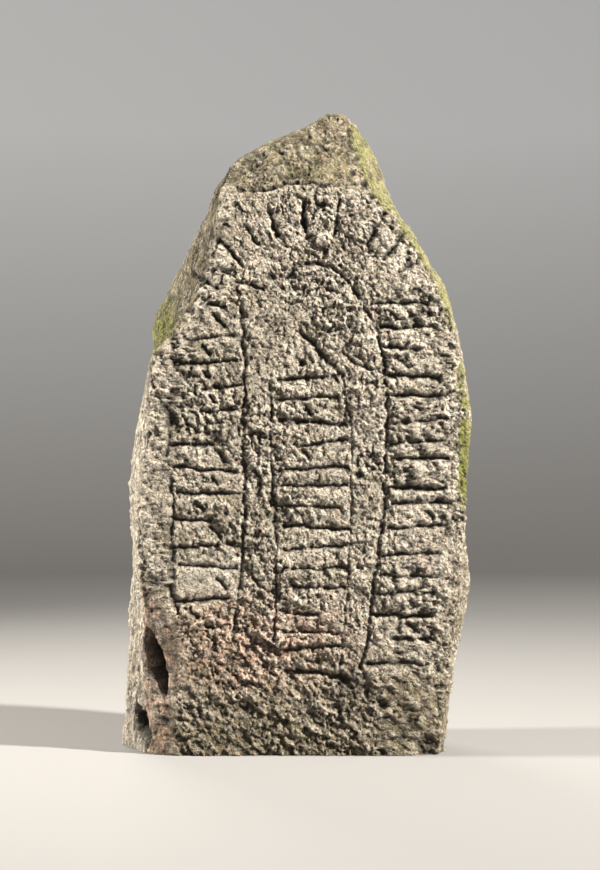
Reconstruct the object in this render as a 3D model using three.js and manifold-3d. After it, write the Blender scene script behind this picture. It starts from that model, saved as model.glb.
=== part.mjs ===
// A rune stone: one undressed granite boulder, standing upright on a foot cut off flat at ground level.
// Millimetres, +Z up, carved face towards -Y, origin at the middle of the foot's box.
import * as THREE from "three";
import { mergeVertices } from "three/addons/utils/BufferGeometryUtils.js";
import Module from "manifold-3d";

// Driving dimensions of the whole stone.
const HEIGHT = 1630;
const HALF_WIDTH = 445;
const HALF_DEPTH = 220;

// The carving: every groove is a V, this wide at the face and this deep.
const GROOVE_HALF_WIDTH = 8;
const GROOVE_DEPTH = 7;
const GROOVE_LIFT = 9; // how far a groove's cutter stands out of the face
const TIP_LIFT = 1; // the same at its two pointed ends
const TIP_SHARE = 0.14; // share of a stroke that tapers at each end

// How finely the skin is divided.
const RINGS = 40;
const TOP_CROWDING = 1.35; // above 1, the rings stand closer together towards the top
const TOP_RING = 0.994; // height share of the last ring, below the summit

// Profiles. Each row is [share of the height, share of the half width or half depth].
const LEFT_FLANK = [
  [0, -1], [0.16, -0.96], [0.37, -0.943], [0.47, -0.918], [0.56, -0.86], [0.61, -0.812], [0.655, -0.815],
  [0.73, -0.715], [0.825, -0.545], [0.92, -0.335], [0.945, -0.2], [0.982, 0.095], [1, 0.21],
];
const RIGHT_FLANK = [
  [0, 0.855], [0.12, 0.905], [0.19, 0.95], [0.257, 0.995], [0.3, 0.965], [0.375, 0.945], [0.49, 0.995],
  [0.607, 0.957], [0.7, 0.875], [0.8, 0.685], [0.855, 0.56], [0.9, 0.517], [0.945, 0.445], [0.985, 0.34],
  [1, 0.29],
];
const LEFT_ARRIS = [
  [0, -0.81], [0.2, -0.81], [0.41, -0.845], [0.5, -0.8], [0.605, -0.77], [0.65, -0.645], [0.705, -0.51],
  [0.8, -0.43], [0.9, -0.36], [0.945, -0.14], [0.982, 0.12], [1, 0.22],
];
const RIGHT_ARRIS = [
  [0, 0.73], [0.16, 0.81], [0.33, 0.88], [0.5, 0.9], [0.62, 0.86], [0.7, 0.795], [0.775, 0.655],
  [0.85, 0.46], [0.9, 0.365], [0.97, 0.31], [1, 0.26],
];
const FACE_DEPTH = [
  [0, -0.98], [0.3, -1], [0.6, -0.96], [0.78, -0.9], [0.865, -0.82], [0.92, -0.58], [0.96, -0.36], [1, -0.2],
];
const BACK_DEPTH = [
  [0, 0.95], [0.25, 1], [0.5, 0.93], [0.72, 0.75], [0.86, 0.5], [0.93, 0.3], [1, 0.02],
];
const LEFT_FLANK_DEPTH = [[0, 0.05], [0.4, -0.05], [0.65, -0.15], [0.8, -0.25], [0.92, -0.2], [1, -0.1]];
const RIGHT_FLANK_DEPTH = [[0, -0.45], [0.5, -0.45], [0.8, -0.4], [0.93, -0.25], [1, -0.1]];

// The three corners of the back, as [share of the half width from the middle, share of the back's depth].
const BACK_CORNERS = [[0.78, 0.72], [0.1, 1], [-0.72, 0.78]];

// The plan section has seven rounded corners, anticlockwise seen from above. softness is the share of each
// neighbouring edge that the rounding takes; arc and edge are the steps round the corner and along the next
// edge.
const CORNERS = {
  leftArris: { softness: 0.1, arc: 3, edge: 8 },
  rightArris: { softness: 0.2, arc: 3, edge: 1 },
  rightFlank: { softness: 0.42, arc: 4, edge: 2 },
  backRight: { softness: 0.45, arc: 4, edge: 1 },
  back: { softness: 0.45, arc: 4, edge: 1 },
  backLeft: { softness: 0.45, arc: 4, edge: 2 },
  leftFlank: { softness: 0.3, arc: 4, edge: 3 },
};

// Long low swells of the skin: [amplitude mm, x, y and z wavelengths in mm, phase]. They are full this far
// from the section's middle.
const SWELL_REACH = 100;
const SWELLS = [
  [5, 610, 480, 730, 0.4],
  [4, 330, 410, 390, 2.1],
  [2.5, 190, 260, 210, 4.4],
];

// Frame lines on the face, as [share of the half width, share of the height].
const FRAME_LINES = [
  [[-0.69, 0.628], [-0.703, 0.513], [-0.71, 0.46], [-0.683, 0.391], [-0.688, 0.247], [-0.654, 0.22]],
  [[-0.357, 0.752], [-0.312, 0.709], [-0.29, 0.651], [-0.279, 0.575], [-0.29, 0.498], [-0.279, 0.422],
    [-0.29, 0.331], [-0.306, 0.269], [-0.346, 0.177]],
  [[-0.139, 0.582], [-0.133, 0.498], [-0.128, 0.422], [-0.106, 0.331], [-0.106, 0.239], [-0.117, 0.177]],
  [[0.035, 0.65], [0.169, 0.609], [0.275, 0.58], [0.308, 0.513], [0.32, 0.45], [0.318, 0.39], [0.308, 0.331],
    [0.292, 0.239], [0.265, 0.177], [0.236, 0.101]],
  [[-0.038, 0.734], [-0.004, 0.75], [0.076, 0.756], [0.184, 0.752], [0.258, 0.741], [0.324, 0.718],
    [0.42, 0.671], [0.463, 0.651], [0.488, 0.616], [0.51, 0.575], [0.517, 0.498], [0.51, 0.437],
    [0.494, 0.376], [0.465, 0.3], [0.431, 0.239], [0.409, 0.177], [0.36, 0.132]],
  [[0.27, 0.618], [0.342, 0.598], [0.43, 0.592], [0.506, 0.594]],
  [[-0.339, 0.864], [-0.088, 0.871], [0.076, 0.877], [0.258, 0.877]],
  [[-0.45, 0.747], [-0.357, 0.735], [-0.317, 0.726], [-0.184, 0.715]],
];

// Rows of strokes between two edges of the face: plain strokes and loose ticks that spell nothing.
const ROWS = [
  {
    left: [[0.19, -0.6], [0.247, -0.688], [0.46, -0.71], [0.6, -0.69], [0.65, -0.6], [0.7, -0.47]],
    right: [[0.19, -0.33], [0.269, -0.306], [0.331, -0.29], [0.575, -0.279], [0.651, -0.29], [0.7, -0.31]],
    top: 0.685, bottom: 0.2, strokes: 13, seed: 1,
  },
  {
    left: [[0.12, -0.08], [0.239, -0.106], [0.331, -0.106], [0.422, -0.128], [0.582, -0.139]],
    right: [[0.12, 0.24], [0.239, 0.292], [0.331, 0.308], [0.45, 0.32], [0.58, 0.275]],
    top: 0.572, bottom: 0.13, strokes: 15, seed: 2,
  },
  {
    left: [[0.132, 0.36], [0.239, 0.431], [0.376, 0.494], [0.498, 0.517], [0.616, 0.488], [0.7, 0.38]],
    right: [[0.132, 0.75], [0.33, 0.865], [0.5, 0.885], [0.62, 0.84], [0.7, 0.76]],
    top: 0.69, bottom: 0.14, strokes: 17, seed: 3,
  },
];
const ROW_INSET = 0.02; // share of the half width left bare at each end of a stroke
const STROKE_SHIFT = 0.42; // how unevenly the strokes stand, as a share of their step
const STROKE_TILT = 0.009; // height share that a stroke's ends may differ by
const SHORT_STROKES = 0.3; // share of the strokes that stop well short of one edge
const LONG_STOP = 0.42; // how far those stop short, as a share of the row's width
const NEAR_STOP = 0.08; // and how far the others do
const TICK_GAP = 0.034; // height share that strokes stand apart before a tick fits between them
const TICK_CLEAR = 0.0135; // height share between a tick's end and the strokes above and below it
const TICK_MOST = 0.008; // height share that a tick reaches from its middle, at most
const TICK_RUN = 0.9; // how far a tick runs across for each step up
const TICK_PLACES = [0.25, 0.75]; // where a tick's middle may stand, as shares of the row's width

// The strokes that fan out over the arch: centre, radii in mm and how much they vary, and angles in degrees.
const ARCH = {
  x: 0.11, z: 0.638, inner: 262, innerSpread: 18, outer: 362, outerSpread: 40,
  from: 150, to: 35, turnSpread: 0.4, strokes: 9, seed: 4,
};

// Two hollows where flakes have split off the left arris: centre and half axes in mm, and turns in degrees.
const HOLLOW_TURN = -40; // in plan, towards the inside of the stone
const HOLLOW_DETAIL = 2;
const HOLLOWS = [
  { x: -352, y: -196, z: 228, half: [26, 70, 88], lean: 6 },
  { x: -392, y: -150, z: 62, half: [24, 60, 58], lean: 14 },
];

// A value from 0 to 1 that looks random and is always the same for the same pair.
const wobble = (i, seed) => {
  const v = Math.sin(i * 12.9898 + seed * 78.233) * 43758.5453;
  return v - Math.floor(v);
};

// A smooth curve through a profile's rows: a cubic whose slope at each row is that between its neighbours.
const along = (profile, at) => {
  const last = profile.length - 1;
  const slope = (k) => {
    const [a, b] = [profile[Math.max(0, k - 1)], profile[Math.min(last, k + 1)]];
    return (b[1] - a[1]) / (b[0] - a[0]);
  };
  const t = Math.min(Math.max(at, profile[0][0]), profile[last][0]);
  let k = 0;
  while (k < last - 1 && t > profile[k + 1][0]) k += 1;
  const [[t0, v0], [t1, v1]] = [profile[k], profile[k + 1]];
  const span = t1 - t0;
  const s = (t - t0) / span;
  return (
    v0 * (1 + 2 * s) * (1 - s) ** 2 +
    slope(k) * span * s * (1 - s) ** 2 +
    v1 * s ** 2 * (3 - 2 * s) +
    slope(k + 1) * span * s ** 2 * (s - 1)
  );
};

// The seven corners of the plan section at a height share, in shares of the half width and half depth.
const sectionCorners = (h) => {
  const [left, right] = [along(LEFT_FLANK, h), along(RIGHT_FLANK, h)];
  const [middle, half] = [(left + right) / 2, (right - left) / 2];
  const [face, back] = [along(FACE_DEPTH, h), along(BACK_DEPTH, h)];
  return [
    [along(LEFT_ARRIS, h), face],
    [along(RIGHT_ARRIS, h), face],
    [right, along(RIGHT_FLANK_DEPTH, h)],
    ...BACK_CORNERS.map(([across, depth]) => [middle + across * half, depth * back]),
    [left, along(LEFT_FLANK_DEPTH, h)],
  ];
};

const mix = (a, b, t) => [a[0] + (b[0] - a[0]) * t, a[1] + (b[1] - a[1]) * t];

// The section at a height share: straight edges joined by quadratic curves. Each corner is pulled outwards
// so that its curve still passes through the named corner.
const sectionPoints = (h) => {
  const named = sectionCorners(h);
  const rounding = Object.values(CORNERS);
  const n = named.length;
  const pulled = named.map((p, i) => {
    const s = rounding[i].softness;
    const [a, b] = [named[(i + n - 1) % n], named[(i + 1) % n]];
    return [0, 1].map((k) => (p[k] - 0.25 * s * (a[k] + b[k])) / (1 - 0.5 * s));
  });
  const points = [];
  pulled.forEach((p, i) => {
    const [before, after] = [pulled[(i + n - 1) % n], pulled[(i + 1) % n]];
    const [start, end] = [mix(p, before, rounding[i].softness), mix(p, after, rounding[i].softness)];
    for (let k = 0; k < rounding[i].arc; k += 1) {
      const t = k / rounding[i].arc;
      points.push(mix(mix(start, p, t), mix(p, end, t), t));
    }
    const next = mix(after, p, rounding[(i + 1) % n].softness);
    for (let k = 0; k < rounding[i].edge; k += 1) points.push(mix(end, next, k / rounding[i].edge));
  });
  return points;
};

const swell = (x, y, z) =>
  SWELLS.reduce(
    (sum, [size, wx, wy, wz, phase]) =>
      sum + size * Math.sin((2 * Math.PI * x) / wx + phase) *
        Math.cos((2 * Math.PI * y) / wy + 2 * phase) * Math.sin((2 * Math.PI * z) / wz + 3 * phase),
    0,
  );

// The stone's skin: rings of section points from the foot to the summit, closed by a fan at each end.
const makeBlock = () => {
  const steps = Array.from({ length: RINGS }, (_, k) => k / (RINGS - 1));
  const heights = steps.map((t) => TOP_RING * (1 - (1 - t) ** TOP_CROWDING));
  const positions = [];
  let columns = 0;
  for (const h of heights) {
    const ring = sectionPoints(h).map(([x, y]) => [x * HALF_WIDTH, y * HALF_DEPTH]);
    columns = ring.length;
    const middle = [0, 1].map((k) => ring.reduce((sum, p) => sum + p[k], 0) / columns);
    for (const [x, y] of ring) {
      const out = Math.hypot(x - middle[0], y - middle[1]);
      const grown = 1 + (swell(x, y, h * HEIGHT) * Math.min(1, out / SWELL_REACH)) / out;
      positions.push(middle[0] + (x - middle[0]) * grown, middle[1] + (y - middle[1]) * grown, h * HEIGHT);
    }
  }
  const end = (h) => {
    const ring = sectionCorners(h);
    return [0, 1].map((k) => ring.reduce((sum, p) => sum + p[k], 0) / ring.length);
  };
  const [foot, summit] = [end(0), end(1)];
  positions.push(foot[0] * HALF_WIDTH, foot[1] * HALF_DEPTH, 0);
  positions.push(summit[0] * HALF_WIDTH, summit[1] * HALF_DEPTH, HEIGHT);
  const [footIndex, summitIndex] = [RINGS * columns, RINGS * columns + 1];
  const faces = [];
  for (let j = 0; j < columns; j += 1) {
    const next = (j + 1) % columns;
    for (let i = 0; i < RINGS - 1; i += 1) {
      const [low, high] = [i * columns, (i + 1) * columns];
      faces.push(low + j, low + next, high + next, low + j, high + next, high + j);
    }
    faces.push(footIndex, next, j);
    faces.push(summitIndex, (RINGS - 1) * columns + j, (RINGS - 1) * columns + next);
  }
  const geometry = new THREE.BufferGeometry();
  geometry.setAttribute("position", new THREE.Float32BufferAttribute(positions, 3));
  geometry.setIndex(faces);
  return fitToBox(geometry);
};

// Stretches the skin a little so that its box is exactly the driving dimensions, centred over the foot.
const fitToBox = (geometry) => {
  geometry.computeBoundingBox();
  const size = geometry.boundingBox.getSize(new THREE.Vector3());
  const centre = geometry.boundingBox.getCenter(new THREE.Vector3());
  geometry.translate(-centre.x, -centre.y, 0);
  geometry.scale((2 * HALF_WIDTH) / size.x, (2 * HALF_DEPTH) / size.y, 1);
  return geometry;
};

// The strokes of one row, as [start, end] pairs in face shares: one across the row at uneven steps, and in
// each wide enough gap a short slanting tick that touches no other stroke.
const rowStrokes = ({ left, right, top, bottom, strokes, seed }) => {
  const step = (top - bottom) / (strokes - 1);
  const uneven = (i) => i + STROKE_SHIFT * (wobble(i, seed) - 0.5);
  const heights = Array.from({ length: strokes }, (_, i) => top - step * uneven(i));
  const made = [];
  heights.forEach((h, i) => {
    const [a, b] = [along(left, h) + ROW_INSET, along(right, h) - ROW_INSET];
    const stop = wobble(i, seed + 10) > 1 - SHORT_STROKES ? LONG_STOP : NEAR_STOP;
    const [from, to] = wobble(i, seed + 20) > 0.5 ? [0, stop] : [stop, 0];
    const tilt = STROKE_TILT * (wobble(i, seed + 30) - 0.5);
    made.push([[a + (b - a) * from, h - tilt], [b - (b - a) * to, h + tilt]]);
    if (i + 1 < strokes && h - heights[i + 1] > TICK_GAP) {
      const [first, final] = TICK_PLACES;
      const middle = a + (b - a) * (first + (final - first) * wobble(i, seed + 40));
      const centre = (h + heights[i + 1]) / 2;
      const rise = Math.min(TICK_MOST, (h - heights[i + 1]) / 2 - TICK_CLEAR);
      const run = rise * (HEIGHT / HALF_WIDTH) * TICK_RUN;
      made.push([[middle - run, centre + rise], [middle + run, centre - rise]]);
    }
  });
  return made;
};

// The fan over the arch, as [start, end] pairs in face shares that point away from the arch's centre.
const archStrokes = () =>
  Array.from({ length: ARCH.strokes }, (_, i) => {
    const share = (i + ARCH.turnSpread * (wobble(i, ARCH.seed) - 0.5)) / (ARCH.strokes - 1);
    const turn = THREE.MathUtils.degToRad(ARCH.from + (ARCH.to - ARCH.from) * share);
    const inner = ARCH.inner + ARCH.innerSpread * wobble(i, ARCH.seed + 10);
    const outer = ARCH.outer - ARCH.outerSpread * wobble(i, ARCH.seed + 20);
    const [dx, dz] = [Math.cos(turn) / HALF_WIDTH, Math.sin(turn) / HEIGHT];
    return [inner, outer].map((r) => [ARCH.x + r * dx, ARCH.z + r * dz]);
  });

// A groove's cutter: a bar of diamond section laid along the face and tapering to a point at each end.
const makeCutter = (points) => {
  const line = points.map((p) => new THREE.Vector2(p.x, p.z));
  const positions = [points[0].x, points[0].y - TIP_LIFT, points[0].z];
  for (let i = 1; i < points.length - 1; i += 1) {
    const forward = line[i + 1].clone().sub(line[i - 1]).normalize();
    const side = new THREE.Vector2(-forward.y, forward.x);
    const { x, y, z } = points[i];
    positions.push(x + side.x * GROOVE_HALF_WIDTH, y, z + side.y * GROOVE_HALF_WIDTH);
    positions.push(x, y + GROOVE_DEPTH, z);
    positions.push(x - side.x * GROOVE_HALF_WIDTH, y, z - side.y * GROOVE_HALF_WIDTH);
    positions.push(x, y - GROOVE_LIFT, z);
  }
  const last = points[points.length - 1];
  positions.push(last.x, last.y - TIP_LIFT, last.z);
  const rings = points.length - 2;
  const faces = [];
  for (let k = 0; k < 4; k += 1) {
    const next = (k + 1) % 4;
    faces.push(0, 1 + k, 1 + next);
    for (let i = 0; i < rings - 1; i += 1) {
      const [a, b] = [1 + 4 * i, 5 + 4 * i];
      faces.push(a + k, b + k, b + next, a + k, b + next, a + next);
    }
    faces.push(4 * rings + 1, 4 * rings - 3 + next, 4 * rings - 3 + k);
  }
  const geometry = new THREE.BufferGeometry();
  geometry.setAttribute("position", new THREE.Float32BufferAttribute(positions, 3));
  geometry.setIndex(faces);
  return geometry;
};

// Points on the block's face at a run of face shares, by casting rays straight in from the front.
const layOnFace = (block, shares) => {
  const mesh = new THREE.Mesh(block, new THREE.MeshBasicMaterial({ side: THREE.DoubleSide }));
  mesh.updateMatrixWorld(true);
  const ray = new THREE.Raycaster();
  return shares.map(([x, z]) => {
    ray.set(new THREE.Vector3(x * HALF_WIDTH, -2 * HALF_DEPTH, z * HEIGHT), new THREE.Vector3(0, 1, 0));
    return ray.intersectObject(mesh)[0].point;
  });
};

const makeCarving = (block) => {
  const strokes = [...ROWS.flatMap(rowStrokes), ...archStrokes()];
  const shortRuns = strokes.map(([a, b]) => [a, mix(a, b, TIP_SHARE), mix(a, b, 1 - TIP_SHARE), b]);
  return [...FRAME_LINES, ...shortRuns].map((shares) => makeCutter(layOnFace(block, shares)));
};

const makeHollow = ({ x, y, z, half, lean }) =>
  new THREE.IcosahedronGeometry(1, HOLLOW_DETAIL)
    .scale(...half)
    .rotateZ(THREE.MathUtils.degToRad(HOLLOW_TURN))
    .rotateY(THREE.MathUtils.degToRad(lean))
    .translate(x, y, z);

const wasm = await Module();
wasm.setup();

// A closed geometry as a solid, with its shared corners merged and its faces pointing out.
const solidOf = (geometry) => {
  const bare = new THREE.BufferGeometry();
  bare.setAttribute("position", geometry.getAttribute("position"));
  if (geometry.index) bare.setIndex(geometry.index);
  const merged = mergeVertices(bare, 1e-4);
  const vertProperties = new Float32Array(merged.attributes.position.array);
  const solid = (triVerts) => new wasm.Manifold(new wasm.Mesh({ numProp: 3, vertProperties, triVerts }));
  const made = solid(new Uint32Array(merged.index.array));
  return made.volume() > 0 ? made : solid(new Uint32Array(merged.index.array).reverse());
};

const geometryOf = (solid) => {
  const mesh = solid.getMesh();
  const geometry = new THREE.BufferGeometry();
  geometry.setAttribute("position", new THREE.Float32BufferAttribute(mesh.vertProperties, 3));
  geometry.setIndex(new THREE.Uint32BufferAttribute(mesh.triVerts, 1));
  geometry.computeVertexNormals();
  return geometry;
};

const makeStone = () => {
  const block = makeBlock();
  const cutters = [...makeCarving(block), ...HOLLOWS.map(makeHollow)];
  return geometryOf(solidOf(block).subtract(wasm.Manifold.union(cutters.map(solidOf))));
};

const granite = new THREE.MeshStandardMaterial({ color: 0x9b8d7c, roughness: 0.92, metalness: 0 });
const stone = new THREE.Mesh(makeStone(), granite);
stone.name = "stone";

const runeStone = new THREE.Group();
runeStone.add(stone);

export default runeStone;
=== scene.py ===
"""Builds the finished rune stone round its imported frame: a weathered granite boulder with a carved face.

The skin is a function of the way round the plan section and of the height. Relief and carving move it along
its normals, and the same fields are attributes that the granite reads.
"""

import math

import bpy
import numpy as np
from bpy.props import FloatProperty, FloatVectorProperty, IntProperty, PointerProperty
from bpy.types import Operator, Panel, PropertyGroup
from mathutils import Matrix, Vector


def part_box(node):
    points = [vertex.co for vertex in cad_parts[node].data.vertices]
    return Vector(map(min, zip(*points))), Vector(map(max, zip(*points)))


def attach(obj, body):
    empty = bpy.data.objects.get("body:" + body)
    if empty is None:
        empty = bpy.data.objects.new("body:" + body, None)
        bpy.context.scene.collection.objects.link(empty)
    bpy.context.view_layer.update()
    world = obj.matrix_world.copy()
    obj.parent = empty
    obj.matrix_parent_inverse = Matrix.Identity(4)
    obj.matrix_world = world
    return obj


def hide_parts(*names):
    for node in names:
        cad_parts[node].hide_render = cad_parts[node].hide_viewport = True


bl_info = {
    "name": "Rune stone",
    "version": (1, 0, 0),
    "blender": (4, 5, 0),
    "location": "3D View > Sidebar > Rune stone",
    "description": "A standing granite boulder carved with frame lines and rows of strokes",
    "category": "Add Mesh",
}

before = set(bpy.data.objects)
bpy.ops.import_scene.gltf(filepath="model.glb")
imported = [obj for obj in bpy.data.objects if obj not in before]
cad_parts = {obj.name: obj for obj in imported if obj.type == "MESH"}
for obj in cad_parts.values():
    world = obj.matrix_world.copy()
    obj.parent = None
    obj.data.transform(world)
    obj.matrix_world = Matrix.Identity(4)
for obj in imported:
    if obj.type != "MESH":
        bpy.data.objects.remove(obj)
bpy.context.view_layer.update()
STONE_LOW, STONE_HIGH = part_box("stone")
STONE_SIZE = STONE_HIGH - STONE_LOW
STONE_MIDDLE = (STONE_LOW + STONE_HIGH) / 2
HALF_WIDTH, HALF_DEPTH, HEIGHT = STONE_SIZE.x / 2, STONE_SIZE.y / 2, STONE_SIZE.z
MM = 0.001

# fmt: off
# Lengths in the tables are in mm, and a noise is (size, height, seed). Shares of the height run from the
# foot, and shares of the half width from the middle to the right.

# Profiles: (share of the height, share of the half width or half depth).
LEFT_FLANK = [
    (0, -1), (0.16, -0.96), (0.37, -0.943), (0.47, -0.918), (0.56, -0.86), (0.61, -0.812), (0.655, -0.815),
    (0.73, -0.715), (0.825, -0.545), (0.92, -0.335), (0.945, -0.2), (0.982, 0.095), (1, 0.21),
]
RIGHT_FLANK = [
    (0, 0.855), (0.12, 0.905), (0.19, 0.95), (0.257, 0.995), (0.3, 0.965), (0.375, 0.945), (0.49, 0.995),
    (0.607, 0.957), (0.7, 0.875), (0.8, 0.685), (0.855, 0.56), (0.9, 0.517), (0.945, 0.445), (0.985, 0.34),
    (1, 0.29),
]
LEFT_ARRIS = [
    (0, -0.81), (0.2, -0.81), (0.41, -0.845), (0.5, -0.8), (0.605, -0.77), (0.65, -0.645), (0.705, -0.51),
    (0.8, -0.43), (0.9, -0.36), (0.945, -0.14), (0.982, 0.12), (1, 0.22),
]
RIGHT_ARRIS = [
    (0, 0.73), (0.16, 0.81), (0.33, 0.88), (0.5, 0.9), (0.62, 0.86), (0.7, 0.795), (0.775, 0.655),
    (0.85, 0.46), (0.9, 0.365), (0.97, 0.31), (1, 0.26),
]
FACE_DEPTH = [
    (0, -0.98), (0.3, -1), (0.6, -0.96), (0.78, -0.9), (0.865, -0.82), (0.92, -0.58), (0.96, -0.36),
    (1, -0.2),
]
BACK_DEPTH = [(0, 0.95), (0.25, 1), (0.5, 0.93), (0.72, 0.75), (0.86, 0.5), (0.93, 0.3), (1, 0.02)]
LEFT_FLANK_DEPTH = [(0, 0.05), (0.4, -0.05), (0.65, -0.15), (0.8, -0.25), (0.92, -0.2), (1, -0.1)]
RIGHT_FLANK_DEPTH = [(0, -0.45), (0.5, -0.45), (0.8, -0.4), (0.93, -0.25), (1, -0.1)]

# The three corners of the back: (share of the half width from its middle, share of the back's depth).
BACK_CORNERS = [(0.78, 0.72), (0.1, 1), (-0.72, 0.78)]

# The plan section's corners, anticlockwise from the left arris: (softness, steps round it, steps to the
# next). Most steps lie on the carved face.
CORNERS = [
    (0.1, 16, 296),
    (0.2, 40, 12),
    (0.42, 44, 14),
    (0.45, 32, 10),
    (0.45, 44, 10),
    (0.45, 32, 16),
    (0.3, 40, 60),
]
TOP_RING = 0.998  # height share of the last ring, below the summit

# Long low swells: (amplitude, x, y and z wavelengths, phase), full this far from the section's middle.
SWELL_REACH = 100
SWELLS = [(5, 610, 480, 730, 0.4), (4, 330, 410, 390, 2.1), (2.5, 190, 260, 210, 4.4)]

# Frame lines, as (share of the half width, share of the height).
FRAME_LINES = [
    [(-0.69, 0.628), (-0.703, 0.513), (-0.71, 0.46), (-0.683, 0.391), (-0.688, 0.247), (-0.654, 0.22)],
    [(-0.357, 0.752), (-0.312, 0.709), (-0.29, 0.651), (-0.279, 0.575), (-0.29, 0.498), (-0.279, 0.422),
     (-0.29, 0.331), (-0.306, 0.269), (-0.346, 0.177)],
    [(-0.139, 0.582), (-0.133, 0.498), (-0.128, 0.422), (-0.106, 0.331), (-0.106, 0.239), (-0.117, 0.177)],
    [(0.035, 0.65), (0.169, 0.609), (0.275, 0.58)],
    [(0.275, 0.58), (0.308, 0.513), (0.32, 0.45), (0.318, 0.39), (0.308, 0.331), (0.292, 0.239),
     (0.265, 0.177), (0.236, 0.101)],
    [(-0.038, 0.734), (-0.004, 0.75), (0.076, 0.756), (0.184, 0.752), (0.258, 0.741), (0.324, 0.718),
     (0.42, 0.671), (0.463, 0.651), (0.488, 0.616), (0.51, 0.575), (0.517, 0.498), (0.51, 0.437),
     (0.494, 0.376), (0.465, 0.3), (0.431, 0.239), (0.409, 0.177), (0.36, 0.132)],
    [(0.27, 0.618), (0.342, 0.598), (0.43, 0.592), (0.506, 0.594)],
    [(-0.339, 0.864), (-0.088, 0.871), (0.076, 0.877), (0.258, 0.877)],
    [(-0.45, 0.747), (-0.357, 0.735), (-0.317, 0.726), (-0.184, 0.715)],
]
LINE_SHARES = [0.9, 1.25, 1.0, 1.7, 0.65, 1.55, 1.0, 0.5, 1.2]  # how wide and deep each is

# Rows of strokes between two edges: plain strokes and loose ticks that spell nothing.
ROWS = [
    {
        "left": [(0.19, -0.6), (0.247, -0.688), (0.46, -0.71), (0.6, -0.69), (0.65, -0.6), (0.7, -0.47)],
        "right": [(0.19, -0.33), (0.269, -0.306), (0.331, -0.29), (0.575, -0.279), (0.651, -0.29),
                  (0.7, -0.31)],
        "top": 0.685, "bottom": 0.2, "strokes": 13, "seed": 1,
    },
    {
        "left": [(0.12, -0.08), (0.239, -0.106), (0.331, -0.106), (0.422, -0.128), (0.582, -0.139)],
        "right": [(0.12, 0.24), (0.239, 0.292), (0.331, 0.308), (0.45, 0.32), (0.58, 0.275)],
        "top": 0.572, "bottom": 0.13, "strokes": 15, "seed": 2,
    },
    {
        "left": [(0.132, 0.36), (0.239, 0.431), (0.376, 0.494), (0.498, 0.517), (0.616, 0.488), (0.7, 0.38)],
        "right": [(0.132, 0.75), (0.33, 0.865), (0.5, 0.885), (0.62, 0.84), (0.7, 0.76)],
        "top": 0.69, "bottom": 0.14, "strokes": 17, "seed": 3,
    },
]
ROW_INSET = 0.02  # share of the half width left bare at a stroke's ends
STROKE_SHIFT = 0.42  # how unevenly the strokes stand, as a share of their step
STROKE_TILT = 0.009  # height share that a stroke's ends may differ by
SHORT_STROKES = 0.3  # share of the strokes that stop well short of one edge
LONG_STOP = 0.42  # how far those stop short, as a share of the row's width
NEAR_STOP = 0.08  # and how far the others do
TICK_GAP = 0.034  # height share between strokes from which a tick fits
TICK_CLEAR = 0.0135  # height share between a tick's end and the next stroke
TICK_MOST = 0.008  # height share that a tick reaches from its middle, at most
TICK_RUN = 0.9  # how far a tick runs across for each step up
TICK_PLACES = (0.25, 0.75)  # where its middle may stand, as shares of the row's width

# The strokes that fan out over the arch: centre, radii and how much they vary, and angles in degrees.
ARCH = {
    "x": 0.11, "z": 0.638, "inner": 262, "inner_spread": 18, "outer": 362, "outer_spread": 40,
    "from": 150, "to": 35, "turn_spread": 0.4, "strokes": 9, "seed": 4,
}

# A groove is a narrow cut in a worn shoulder: (reach in half widths, share of the depth). Single strokes have
# from the least to the most share of the size.
CUT = (1.1, 0.76)
SHOULDER = (1.7, 0.34)
GROOVE_REACH = 5
STROKE_SHARES, SHARES_SEED = (0.75, 1.3), 91
ARCH_WIDTH, ARCH_DEPTH = 1.15, 1.4  # the arch's strokes against those of the rows

# How grooves stray from their lines: (size, how far, two seeds). Where they are worn: noises, the values at
# which they are faintest and whole, and what strokes, arch and lines keep at least.
WANDER = [(42, 5.0, (11, 12)), (13, 3.4, (13, 14))]
WORN = [(65, 1.0, 15), (21, 0.8, 16)]
WORN_LIMITS = (-0.7, 0.45)
STROKES_KEEP, ARCH_KEEPS, LINES_KEEP = 0.55, 0.35, 0.5

# Hollows where flakes have split off the left arris: centre (x, z), half axes across and along, lean in
# degrees, depth. They are split inwards along one direction in plan.
HOLLOWS = [(-345, 232, 19, 88, 15, 58), (-386, 66, 24, 58, 18, 44)]
SPLIT_DIRECTION = (0.6, 0.8, 0)
HOLLOW_RIM = [(35, 0.16, 21), (12, 0.1, 22)]  # how ragged, as a share of the reach
HOLLOW_WALL = (0.4, 1.15)  # from this share of its reach it rises to the skin at that one
HOLLOW_FADE, CHIP_FADE = 50, 160  # how far before the flank's middle hollows and chip die out

# The long chip off the left arris above the foot: its edge on the face, how fast and how far it falls away,
# how ragged its edge is, and the depth from which the skin counts as chipped.
CHIP_EDGE = [(0, -0.66), (0.08, -0.65), (0.16, -0.61), (0.21, -0.68), (0.25, -0.78), (0.3, -0.9)]
CHIP_SLOPE, CHIP_MOST = 0.34, 30
CHIP_RAGGED = [(45, 6, 23)]
CHIP_SEEN = 14

# The ledge across the top of the face: what lies over it is split back by a step with a groove at its foot.
# Its ends are a share of the half width.
LEDGE = [(-0.36, 0.862), (-0.088, 0.871), (0.076, 0.877), (0.27, 0.874)]
LEDGE_STEP, LEDGE_RISE, LEDGE_EASE = 7, (-2, 5), (150, 20)
LEDGE_GROOVE, LEDGE_GROOVE_PLACE, LEDGE_GROOVE_WIDTH = 4.5, 5, 6
LEDGE_ENDS = 0.055
LEDGE_RAGGED = [(36, 11, 24)]

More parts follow.
